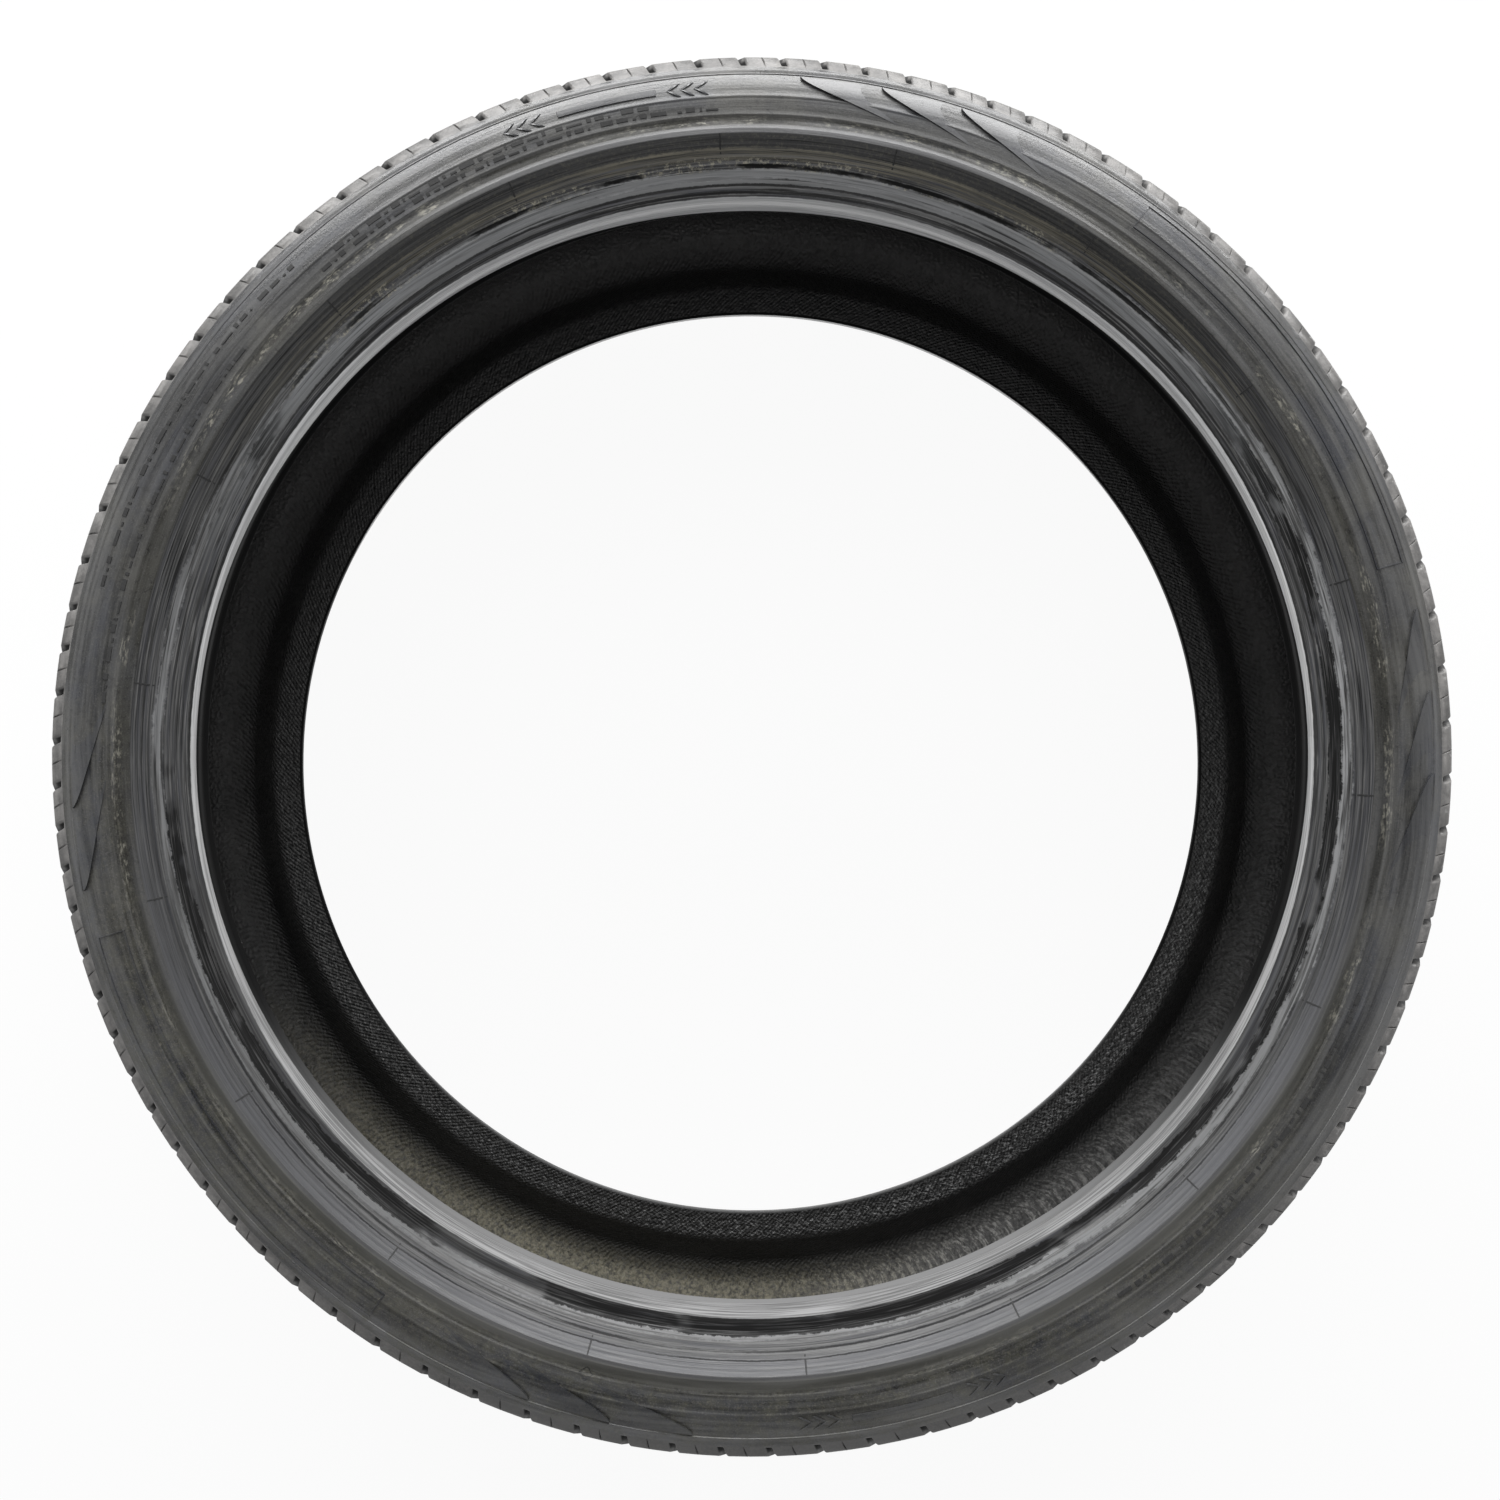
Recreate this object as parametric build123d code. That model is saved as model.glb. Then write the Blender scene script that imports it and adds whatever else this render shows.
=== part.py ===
# Low-profile car tyre, moulded in one piece, lying on its sidewall with its axle line along +Z.
# Sizes in millimetres. The origin is on the axle line, halfway between the two sidewalls.
# A place on the section is a pair: the radius from the axle line, and the offset from the middle plane.
import math
import os

from build123d import *

# Overall sizes
overall_diameter = 655.0
section_width = 248.0
tread_width = 230.0
crown_arc_radius = 850.0

# Rim that the beads fit, 20 inches by 8.5 inches
rim_seat_diameter = 512.8
rim_width = 215.9

# Bead: a rounded heel, a straight seat and a bevelled toe
heel_radius = 6.5
seat_length = 6.5
toe_bevel_height = 3.4
toe_bevel_width = 4.0

# Flat face beside the heel, against which the rim flange lies
flange_face_height = 9.0

# Neck of the bead on the inside, measured from the seat and from the flange face
neck_height = 15.0
neck_thickness = 12.5

# Rim protector rib, with a flank that leans in to the flange face
rib_diameter = 564.8
rib_flat_width = 2.2
rib_ramp_height = 4.5
rib_ramp_rise = 2.4

# Buttress below the tread's edge, and the bow of the sidewall under it
buttress_height = 7.2
buttress_flare = 3.6
sidewall_bow = 2.4

# Walls
crown_thickness = 14.0
sidewall_thickness = 12.0
inner_shoulder_radius = 26.0

# Straight channel around each half of the tread
channel_offset = 39.5
channel_width = 13.0
channel_depth = 8.0
channel_draft_deg = 6.0

# Cross grooves over each shoulder, which deepen from the channel's edge to the foot of the buttress
groove_width = 3.8

# Cross grooves follow a run of short, middle and long pitches, which breaks up tread noise
pitch_lengths = {"S": 0.885, "M": 1.03, "L": 1.175}
pitch_run = "LLLMMMMMMLLSSMMSSSSMSSSSMMSSMML"
pitch_run_count = 3

# Straight steps that make up each round of the section
heel_steps = 2
sidewall_steps = 2
inner_shoulder_steps = 2

# Places worked out from the sizes above
outer_radius = overall_diameter / 2
seat_radius = rim_seat_diameter / 2
heel_plane = rim_width / 2
rib_plane = section_width / 2
tread_edge = tread_width / 2


def crown_radius(offset):
    """Radius of the tread's surface at an offset."""
    return outer_radius - crown_arc_radius + math.sqrt(crown_arc_radius**2 - offset**2)


def round_places(centre, radius, start_deg, end_deg, steps):
    """Places along a round, both ends included."""
    places = []
    for step in range(steps + 1):
        angle = math.radians(start_deg + (end_deg - start_deg) * step / steps)
        places.append((centre[0] + radius * math.cos(angle), centre[1] + radius * math.sin(angle)))
    return places


def bowed_places(start, end, bow, steps):
    """Places along a shallow outward bow, both ends included."""
    places = []
    for step in range(steps + 1):
        share = step / steps
        height = 4 * bow * share * (1 - share)
        radius = start[0] + (end[0] - start[0]) * share
        places.append((radius, start[1] + (end[1] - start[1]) * share + height))
    return places


def channel_edge():
    """Outer edge of the channel, on the tread's surface."""
    offset = channel_offset + channel_width / 2
    return (crown_radius(offset), offset)


def tread_half():
    """The tread's surface from its middle rib, through the channel, to the tread's edge."""
    near = channel_offset - channel_width / 2
    far = channel_edge()
    draft = channel_depth * math.tan(math.radians(channel_draft_deg))
    floor = crown_radius(channel_offset) - channel_depth
    return [
        (outer_radius, near),
        (floor, near + draft),
        (floor, far[1] - draft),
        far,
        (crown_radius(tread_edge), tread_edge),
    ]


def buttress_foot():
    """Lower edge of the buttress, where the cross grooves run out."""
    return (crown_radius(tread_edge) - buttress_height, tread_edge + buttress_flare)


def sidewall_half():
    """The sidewall from the buttress, over the rim protector rib, to the edge of the flange face."""
    rib_inner = rib_diameter / 2 - rib_flat_width / 2
    rib_outer = rib_diameter / 2 + rib_flat_width / 2
    ramp_foot = (rib_outer + rib_ramp_height, rib_plane - rib_ramp_rise)
    bow = bowed_places(buttress_foot(), ramp_foot, sidewall_bow, sidewall_steps)
    face_edge = (seat_radius + flange_face_height, heel_plane)
    return [*bow, (rib_outer, rib_plane), (rib_inner, rib_plane), face_edge]


def bead_half():
    """The bead from its heel to the tip of its toe."""
    heel_centre = (seat_radius + heel_radius, heel_plane - heel_radius)
    heel = round_places(heel_centre, heel_radius, 90, 180, heel_steps)
    seat_end = (seat_radius, heel_centre[1] - seat_length)
    toe = (seat_end[0] - toe_bevel_height, seat_end[1] - toe_bevel_width)
    return [*heel, seat_end, toe]


def inner_half():
    """The inside from the bead's neck, up the sidewall, to the edge of the crown."""
    neck = (seat_radius + neck_height, heel_plane - neck_thickness)
    wall_plane = rib_plane - sidewall_thickness
    crown = outer_radius - crown_thickness
    centre = (crown - inner_shoulder_radius, wall_plane - inner_shoulder_radius)
    shoulder = round_places(centre, inner_shoulder_radius, 90, 0, inner_shoulder_steps)
    return [neck, *shoulder]


def section():
    """The whole section, on the half plane beside the axle line."""
    half = tread_half() + sidewall_half() + bead_half() + inner_half()
    mirrored = [(radius, -offset) for radius, offset in reversed(half)]
    return Plane.XZ * make_face(Polyline(*half, *mirrored, close=True))


def groove_angles():
    """Angles of the cross grooves of one shoulder, in degrees."""
    lengths = [pitch_lengths[name] for name in pitch_run * pitch_run_count]
    degrees_per_length = 360.0 / sum(lengths)
    angles = []
    end = 0.0
    for length in lengths:
        angles.append((end + length / 2) * degrees_per_length)
        end += length
    return angles


def groove_cutter():
    """The space of one cross groove, centred on angle 0."""
    start = channel_edge()
    foot = buttress_foot()
    clear = (overall_diameter, section_width)
    outline = [start, foot, (foot[0], clear[1]), clear, (clear[0], start[1])]
    angle = math.degrees(groove_width / crown_radius(tread_edge))
    wedge = revolve(Plane.XZ * make_face(Polyline(*outline, close=True)), Axis.Z, angle)
    return Rot(0, 0, -angle / 2) * wedge


def build_tyre():
    """The moulded ring, with the cross grooves of the two shoulders staggered by half a pitch."""
    angles = groove_angles()
    stagger = 180.0 / len(angles)
    upper = groove_cutter()
    lower = mirror(upper, Plane.XY)
    cutters = [Rot(0, 0, angle) * upper for angle in angles]
    cutters += [Rot(0, 0, angle + stagger) * lower for angle in angles]
    return revolve(section(), Axis.Z) - cutters


tyre = build_tyre()
os.makedirs("parts", exist_ok=True)
export_step(tyre, "parts/tyre.step")
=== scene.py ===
"""Looks of a low-profile car tyre that lies on its sidewall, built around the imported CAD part."""

import math

import bmesh
import bpy
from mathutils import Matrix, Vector


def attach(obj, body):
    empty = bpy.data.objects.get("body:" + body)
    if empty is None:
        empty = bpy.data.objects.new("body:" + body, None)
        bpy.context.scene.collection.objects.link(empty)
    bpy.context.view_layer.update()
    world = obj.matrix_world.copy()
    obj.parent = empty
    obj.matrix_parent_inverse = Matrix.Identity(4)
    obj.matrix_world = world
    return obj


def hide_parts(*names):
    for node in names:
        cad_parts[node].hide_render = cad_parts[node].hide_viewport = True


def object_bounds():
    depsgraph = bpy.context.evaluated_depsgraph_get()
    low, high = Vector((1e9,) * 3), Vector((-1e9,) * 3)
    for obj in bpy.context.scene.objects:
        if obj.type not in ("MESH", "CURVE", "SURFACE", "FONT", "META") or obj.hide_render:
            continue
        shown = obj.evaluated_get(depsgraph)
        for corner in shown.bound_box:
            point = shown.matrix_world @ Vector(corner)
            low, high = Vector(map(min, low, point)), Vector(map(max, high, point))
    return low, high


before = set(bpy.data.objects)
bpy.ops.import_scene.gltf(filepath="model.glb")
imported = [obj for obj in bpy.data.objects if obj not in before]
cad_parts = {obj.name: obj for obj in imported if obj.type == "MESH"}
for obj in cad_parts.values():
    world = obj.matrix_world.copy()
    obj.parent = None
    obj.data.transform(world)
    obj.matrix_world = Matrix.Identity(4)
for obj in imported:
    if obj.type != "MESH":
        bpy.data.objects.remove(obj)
cad_low, cad_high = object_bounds()

MM = 0.001

# Sizes of the CAD part, in millimetres
OUTER_RADIUS = 327.5
TREAD_EDGE = 115.0
CROWN_ARC_RADIUS = 850.0
SEAT_RADIUS = 256.4
HEEL_PLANE = 107.95
HEEL_RADIUS = 6.5
SEAT_LENGTH = 6.5
TOE_BEVEL_HEIGHT = 3.4
TOE_BEVEL_WIDTH = 4.0
RIB_PLANE = 124.0
FLANGE_FACE_HEIGHT = 9.0
NECK_HEIGHT = 15.0
NECK_THICKNESS = 12.5
RIB_RADIUS = 282.4
RIB_FLAT = 2.2
RAMP_HEIGHT = 4.5
RAMP_RISE = 2.4
BUTTRESS_HEIGHT = 7.2
BUTTRESS_FLARE = 3.6
SIDEWALL_BOW = 2.4
CROWN_THICKNESS = 14.0
SIDEWALL_THICKNESS = 12.0
INNER_SHOULDER_RADIUS = 26.0
CHANNEL_OFFSET = 39.5
CHANNEL_WIDTH = 13.0
CHANNEL_DEPTH = 8.0
CHANNEL_DRAFT_DEG = 6.0
GROOVE_WIDTH = 3.8
PITCH_LENGTHS = {"S": 0.885, "M": 1.03, "L": 1.175}
PITCH_RUN = "LLLMMMMMMLLSSMMSSSSMSSSSMMSSMML"
PITCH_RUN_COUNT = 3

# Grooves and sipes that only the looks have, in millimetres
GROOVE_SLANT_DEG = 14.0
GROOVE_SWEEP = 7.4
GROOVE_SWEEP_LENGTH = 14.0
GROOVE_FOOT_SHARE = 0.7
GROOVE_EDGE_CHAMFER = 0.45
GROOVE_WALL_DRAFT = 0.4
SIPE_WIDTH = 0.9
SIPE_DEPTH = 3.6
SIPE_START = 55.0
SIPE_FULL_END = 112.0
SIPE_FOOT_MARGIN = 1.5
SIPE_FADE_LENGTH = 5.0
RIB_SIPE_DEPTH = 3.0
RIB_SIPE_REACH = 25.0

# Rounds at the corners of the section, and the sag of the flank, in millimetres
CHANNEL_EDGE_ROUND = 0.9
CHANNEL_FLOOR_ROUND = 1.6
TREAD_EDGE_ROUND = 2.6
RAMP_FOOT_ROUND = 2.5
RAMP_LEAD_IN = 3.0
RIB_OUTER_ROUND = 0.9
RIB_INNER_ROUND = 0.6
HEEL_ROUND = 6.2
TOE_ROUND = 1.0
NECK_ROUND = 9.0
WALL_FOOT_ROUND = 8.0
SHOULDER_ROUND = 22.5
FLANK_SAG = 0.8

# Rows of the mesh: offsets from the middle plane, and steps and margins along the outside
RIB_ROWS = (5.0, 14.0, 24.0, 26.0)
SHOULDER_ROWS = (49.0, 56.0, 73.0, 91.0, 99.0, 105.5, 110.5)
LINER_ROWS = (66.0, 42.0, 18.0)
SIDEWALL_STEP = 2.2
LINED_FLANK_STEP = 0.9
PLAIN_FLANK_STEP = 2.4
ROUND_MARGIN = 0.8
FLANK_MARGIN = 0.9

# Raised lines around the sidewall and the flank: radius, half width, height
SIDEWALL_LINES = ((310.2, 0.8, 0.55), (298.6, 0.7, 0.3), (290.4, 0.6, 0.25))
FLANK_LINES = (
    (279.4, 0.5, 0.2),
    (277.6, 0.5, 0.2),
    (275.4, 0.6, 0.35),
    (273.2, 0.5, 0.2),
    (270.6, 0.6, 0.35),
    (268.2, 0.5, 0.2),
)
LINE_CLEARANCE = 1.6
LINE_ROWS = (-1.0, -0.45, 0.45, 1.0)

# Columns of a pitch: six across the groove, then three across the sipe
COLUMNS_PER_PITCH = 9
GROOVE_EDGE_COLUMNS = (1, 4)
GROOVE_FLOOR_COLUMNS = (2, 3)
SIPE_FLOOR_COLUMN = 7
COARSE_EVERY = 3

ZONE_SLOTS = {"rib": 0, "channel": 0, "tread": 0, "sidewall": 1, "flank": 2, "bead": 3, "liner": 4}
TYRE_SHARP_DEG = 38.0
MARK_SHARP_DEG = 30.0


def crown_radius(offset):
    """Radius of the tread's surface at an offset from the middle plane."""
    return OUTER_RADIUS - CROWN_ARC_RADIUS + math.sqrt(CROWN_ARC_RADIUS**2 - offset**2)


# Corners of the section: radius from the axle line, and offset from the middle plane
CHANNEL_NEAR = CHANNEL_OFFSET - CHANNEL_WIDTH / 2
CHANNEL_FAR = CHANNEL_OFFSET + CHANNEL_WIDTH / 2
CHANNEL_TOP = (crown_radius(CHANNEL_FAR), CHANNEL_FAR)
EDGE_RADIUS = crown_radius(TREAD_EDGE)
EDGE = (EDGE_RADIUS, TREAD_EDGE)
FOOT = (EDGE_RADIUS - BUTTRESS_HEIGHT, TREAD_EDGE + BUTTRESS_FLARE)
RIB_INNER = (RIB_RADIUS - RIB_FLAT / 2, RIB_PLANE)
RIB_OUTER = (RIB_RADIUS + RIB_FLAT / 2, RIB_PLANE)
RAMP_FOOT = (RIB_OUTER[0] + RAMP_HEIGHT, RIB_PLANE - RAMP_RISE)
FACE_EDGE = (SEAT_RADIUS + FLANGE_FACE_HEIGHT, HEEL_PLANE)
HEEL_TOP = (SEAT_RADIUS + HEEL_RADIUS, HEEL_PLANE)
HEEL_CORNER = (SEAT_RADIUS, HEEL_PLANE)
SEAT_END = (SEAT_RADIUS, HEEL_PLANE - HEEL_RADIUS - SEAT_LENGTH)
TOE = (SEAT_RADIUS - TOE_BEVEL_HEIGHT, SEAT_END[1] - TOE_BEVEL_WIDTH)
NECK = (SEAT_RADIUS + NECK_HEIGHT, HEEL_PLANE - NECK_THICKNESS)
INNER_CROWN = OUTER_RADIUS - CROWN_THICKNESS
INNER_CORNER = (INNER_CROWN, RIB_PLANE - SIDEWALL_THICKNESS)
INNER_FLAT_EDGE = INNER_CORNER[1] - INNER_SHOULDER_RADIUS
WALL_FOOT = (INNER_CROWN - INNER_SHOULDER_RADIUS, INNER_CORNER[1])


def line_height(radius, lines):
    """Height of the raised lines at a radius."""
    height = 0.0
    for centre, half_width, rise in lines:
        share = abs(radius - centre) / half_width
        if share < 1.0:
            height += rise * (1.0 - share * share)
    return height


def outer_surface(radius, lined=True):
    """Offset of the upper outside between the buttress and the bead's heel."""
    if radius >= RAMP_FOOT[0]:
        share = (FOOT[0] - min(radius, FOOT[0])) / (FOOT[0] - RAMP_FOOT[0])
        straight = FOOT[1] + (RAMP_FOOT[1] - FOOT[1]) * share
        plain = straight + 4.0 * SIDEWALL_BOW * share * (1.0 - share)
        return plain + line_height(radius, SIDEWALL_LINES) if lined else plain
    if radius >= RIB_OUTER[0]:
        share = (RAMP_FOOT[0] - radius) / (RAMP_FOOT[0] - RIB_OUTER[0])
        return RAMP_FOOT[1] + RAMP_RISE * share
    if radius >= RIB_INNER[0]:
        return RIB_PLANE
    if radius >= FACE_EDGE[0]:
        share = (RIB_INNER[0] - radius) / (RIB_INNER[0] - FACE_EDGE[0])
        straight = RIB_PLANE + (FACE_EDGE[1] - RIB_PLANE) * share
        plain = straight - 4.0 * FLANK_SAG * share * (1.0 - share)
        return plain + line_height(radius, FLANK_LINES) if lined else plain
    return HEEL_PLANE


def rounded(before, corner, after, radius, steps):
    """Places along a round that takes the place of a corner."""
    here = Vector(corner)
    back = (Vector(before) - here).normalized()
    ahead = (Vector(after) - here).normalized()
    half = back.angle(ahead) / 2.0
    reach = radius / math.tan(half)
    centre = here + (back + ahead).normalized() * (radius / math.sin(half))
    start = here + back * reach - centre
    end = here + ahead * reach - centre
    turn = start.angle_signed(end)
    places = []
    for step in range(steps + 1):
        angle = -turn * step / steps
        across = start.x * math.cos(angle) - start.y * math.sin(angle)
        along = start.x * math.sin(angle) + start.y * math.cos(angle)
        spun = Vector((across, along))
        places.append((centre.x + spun.x, centre.y + spun.y))
    return places


class Section:
    """Rows of half of the section, each with its radius, offset and zone."""

    def __init__(self):
        self.rows = []

    def add(self, zone, places):
        for radius, offset in places:
            self.rows.append((radius, offset, zone))

    def straight(self, zone, end, count):
        """Rows between the last one and a place, both left out."""
        start = self.rows[-1]
        for step in range(count):
            share = (step + 1) / (count + 1)
            radius = start[0] + (end[0] - start[0]) * share
            offset = start[1] + (end[1] - start[1]) * share
            self.rows.append((radius, offset, zone))


def radii_between(start, end, step, lines):
    """Falling radii with the asked step, and closer together at the raised lines."""
    count = max(1, round((start - end) / step))
    radii = {round(start + (end - start) * i / count, 3) for i in range(1, count)}
    for centre, half_width, _ in lines:
        if end < centre - half_width and centre + half_width < start:
            radii = {radius for radius in radii if abs(radius - centre) > half_width * LINE_CLEARANCE}
            radii |= {round(centre + half_width * share, 3) for share in LINE_ROWS}
    return sorted(radii, reverse=True)


def add_tread(made):
    """Middle rib, channel, shoulder of the tread, its edge and the buttress."""
    draft = CHANNEL_DEPTH * math.tan(math.radians(CHANNEL_DRAFT_DEG))
    floor = crown_radius(CHANNEL_OFFSET) - CHANNEL_DEPTH
    near_top = (OUTER_RADIUS, CHANNEL_NEAR)
    near_floor = (floor, CHANNEL_NEAR + draft)
    far_floor = (floor, CHANNEL_FAR - draft)
    made.add("rib", [(OUTER_RADIUS, offset) for offset in RIB_ROWS])
    made.add("channel", rounded((OUTER_RADIUS, 0.0), near_top, near_floor, CHANNEL_EDGE_ROUND, 3))
    made.add("channel", rounded(near_top, near_floor, far_floor, CHANNEL_FLOOR_ROUND, 4))
    made.add("channel", rounded(near_floor, far_floor, CHANNEL_TOP, CHANNEL_FLOOR_ROUND, 4))
    made.add("channel", rounded(far_floor, CHANNEL_TOP, EDGE, CHANNEL_EDGE_ROUND, 3))
    shoulder = [(crown_radius(offset), offset) for offset in SHOULDER_ROWS]
    made.add("tread", shoulder)
    made.add("tread", rounded(shoulder[-1], EDGE, FOOT, TREAD_EDGE_ROUND, 5))
    made.straight("tread", FOOT, 3)


def add_sidewall(made, lined):
    """Sidewall with its raised lines, and the rim protector."""
    lines = SIDEWALL_LINES if lined else ()
    made.add("sidewall", [FOOT])
    for radius in radii_between(FOOT[0], RAMP_FOOT[0] + ROUND_MARGIN, SIDEWALL_STEP, lines):
        made.add("sidewall", [(radius, outer_surface(radius, lined))])
    lead_in = RAMP_FOOT[0] + RAMP_LEAD_IN
    before = (lead_in, outer_surface(lead_in, lined=False))
    made.add("sidewall", rounded(before, RAMP_FOOT, RIB_OUTER, RAMP_FOOT_ROUND, 3))
    rib_round = rounded(RAMP_FOOT, RIB_OUTER, RIB_INNER, RIB_OUTER_ROUND, 3)
    made.straight("sidewall", rib_round[0], 3)
    made.add("sidewall", rib_round)
    made.add("sidewall", rounded(RIB_OUTER, RIB_INNER, FACE_EDGE, RIB_INNER_ROUND, 3))


def add_flank(made, lined):
    """Flank from the rim protector down to the bead's heel."""
    lines = FLANK_LINES if lined else ()
    step = LINED_FLANK_STEP if lined else PLAIN_FLANK_STEP
    for radius in radii_between(RIB_INNER[0] - FLANK_MARGIN, HEEL_TOP[0] + ROUND_MARGIN, step, lines):
        made.add("flank", [(radius, outer_surface(radius, lined))])


def add_bead(made):
    """Heel, seat and toe of the bead."""
    made.add("bead", rounded(HEEL_TOP, HEEL_CORNER, SEAT_END, HEEL_ROUND, 9))
    seat_round = rounded(HEEL_CORNER, SEAT_END, TOE, TOE_ROUND, 2)
    made.straight("bead", seat_round[0], 3)
    made.add("bead", seat_round)
    made.add("bead", rounded(SEAT_END, TOE, NECK, TOE_ROUND, 4))


def add_liner(made):
    """Inside: up the neck and the wall, round the shoulder, to the middle."""
    neck_round = rounded(TOE, NECK, WALL_FOOT, NECK_ROUND, 4)
    wall_round = rounded(NECK, WALL_FOOT, INNER_CORNER, WALL_FOOT_ROUND, 4)
    made.straight("liner", neck_round[0], 3)
    made.add("liner", neck_round)
    made.straight("liner", wall_round[0], 2)
    made.add("liner", wall_round)
    made.add("liner", rounded(WALL_FOOT, INNER_CORNER, (INNER_CROWN, 0.0), SHOULDER_ROUND, 10))
    made.add("liner", [(INNER_CROWN, offset) for offset in LINER_ROWS])


def half_section(lined):
    """Rows from the middle of the tread, over the sidewall and bead, to the middle of the inside."""
    made = Section()
    add_tread(made)
    add_sidewall(made, lined)
    add_flank(made, lined)
    add_bead(made)
    add_liner(made)
    return made.rows


def build_rows():
    """The whole closed section: the upper half, then the lower half in reverse, without raised lines."""
    upper = half_section(lined=True)
    lower = [(radius, -offset, zone) for radius, offset, zone in reversed(half_section(lined=False))]
    return upper + lower


def groove_angles():
    """Angles of the cross grooves of one shoulder, and the spaces that follow them, in radians."""
    lengths = [PITCH_LENGTHS[name] for name in PITCH_RUN * PITCH_RUN_COUNT]
    scale = 2.0 * math.pi / sum(lengths)
    angles = []
    end = 0.0
    for length in lengths:
        angles.append((end + length / 2.0) * scale)
        end += length
    following = angles[1:] + angles[:1]
    return angles, [(after - angle) % (2.0 * math.pi) for angle, after in zip(angles, following)]


def column_angles(angles, spaces):
    """Angles of the fine columns: six across each groove and three across the sipe that follows it."""
    half = GROOVE_WIDTH / 2.0
    across = (
        -half - GROOVE_EDGE_CHAMFER,
        -half,
        -half + GROOVE_WALL_DRAFT,
        half - GROOVE_WALL_DRAFT,
        half,
        half + GROOVE_EDGE_CHAMFER,
    )
    columns = []
    for angle, space in zip(angles, spaces):
        columns += [angle + width / EDGE_RADIUS for width in across]
        middle = angle + space / 2.0
        columns += [middle + SIPE_WIDTH * side / 2.0 / EDGE_RADIUS for side in (-1.0, 0.0, 1.0)]
    return columns


ANGLES, SPACES = groove_angles()
COLUMNS = column_angles(ANGLES, SPACES)
STAGGER = math.pi / len(ANGLES)


def groove_floor(offset):
    """Radius of the cross groove's floor: from the channel's edge down towards the buttress's foot."""
    end_radius = EDGE[0] + (FOOT[0] - EDGE[0]) * GROOVE_FOOT_SHARE
    end_offset = EDGE[1] + (FOOT[1] - EDGE[1]) * GROOVE_FOOT_SHARE
    share = (offset - CHANNEL_TOP[1]) / (end_offset - CHANNEL_TOP[1])
    return CHANNEL_TOP[0] + (end_radius - CHANNEL_TOP[0]) * share


def sipe_depth(radius, offset, zone):
    """Depth of the thin cut between two grooves."""
    if zone == "rib":
        return RIB_SIPE_DEPTH if offset < RIB_SIPE_REACH else 0.0
    if offset < SIPE_START:
        return 0.0
    if offset <= SIPE_FULL_END:
        return SIPE_DEPTH
    share = (radius - FOOT[0] - SIPE_FOOT_MARGIN) / SIPE_FADE_LENGTH
    return SIPE_DEPTH * max(0.0, min(1.0, share))


def sunk_radius(column, radius, offset, zone):
    """Radius of a fine column's vertex, with the grooves and sipes cut in."""
    place = column % COLUMNS_PER_PITCH
    if place == SIPE_FLOOR_COLUMN:
        return radius - sipe_depth(radius, offset, zone)
    if zone != "tread" or offset <= CHANNEL_FAR + CHANNEL_EDGE_ROUND:
        return radius
    floor = min(radius, groove_floor(offset))
    if place in GROOVE_FLOOR_COLUMNS:
        return floor
    if place in GROOVE_EDGE_COLUMNS:
        return max(floor, radius - GROOVE_EDGE_CHAMFER)
    return radius


def slant(offset):
    """Turn of the grooves towards the middle of the tread: they sweep back as they near the shoulders."""
    reach = TREAD_EDGE - abs(offset)
    swept = reach * math.tan(math.radians(GROOVE_SLANT_DEG))
    if reach > 0.0:
        swept += GROOVE_SWEEP * (1.0 - math.exp(-reach / GROOVE_SWEEP_LENGTH))
    else:
        swept += GROOVE_SWEEP * reach / GROOVE_SWEEP_LENGTH
    return swept / EDGE_RADIUS


def row_turn(offset, zone):
    """Turn of a row, which carries the upper half's columns over to the staggered lower half."""
    if zone in ("rib", "channel", "tread"):
        reach = CHANNEL_NEAR
        turned = slant(offset)
    else:
        reach = INNER_FLAT_EDGE
        turned = 0.0
    share = min(1.0, max(0.0, (reach - offset) / (2.0 * reach)))
    return turned + STAGGER * share


def ring_faces(ring, following):
    """Faces between two rings, of which one may have three columns to the other's one."""
    faces = []
    count = min(len(ring), len(following))
    longer = max(ring, following, key=len)
    for i in range(count):
        j = (i + 1) % count
        run = [longer[(COARSE_EVERY * i + k) % len(longer)] for k in range(COARSE_EVERY + 1)]
        if len(ring) == len(following):
            faces.append((ring[i], ring[j], following[j], following[i]))
        elif len(ring) > len(following):
            faces.append((*run, following[j], following[i]))
        else:
            faces.append((ring[i], ring[j], *reversed(run)))
    return faces


def build_tyre_mesh():
    """One closed mesh: fine columns over the tread, and every third one elsewhere."""
    rows = build_rows()
    vertices = []
    rings = []
    for radius, offset, zone in rows:
        fine = zone in ("rib", "tread")
        turn = row_turn(offset, zone)
        ring = []
        for column, angle in enumerate(COLUMNS):
            if not fine and column % COARSE_EVERY:
                continue
            reach = sunk_radius(column, radius, abs(offset), zone) if fine else radius
            ring.append(len(vertices))
            x = reach * MM * math.cos(angle + turn)
            y = reach * MM * math.sin(angle + turn)
            vertices.append((x, y, offset * MM))
        rings.append(ring)
    faces = []
    slots = []
    for index, ring in enumerate(rings):
        after = (index + 1) % len(rings)
        made = ring_faces(ring, rings[after])
        faces += made
        # Faces between two zones take the later zone of the upper half on both sides
        slot = max(ZONE_SLOTS[rows[index][2]], ZONE_SLOTS[rows[after][2]])
        slots += [slot] * len(made)
    mesh = bpy.data.meshes.new("tyre_rubber_mesh")
    mesh.from_pydata(vertices, [], faces)
    mesh.polygons.foreach_set("material_index", slots)
    finish_mesh(mesh, TYRE_SHARP_DEG)
    return mesh


def add_object(name, data):
    """A new object in the scene."""
    made = bpy.data.objects.new(name, data)
    bpy.context.scene.collection.objects.link(made)
    return made


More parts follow.
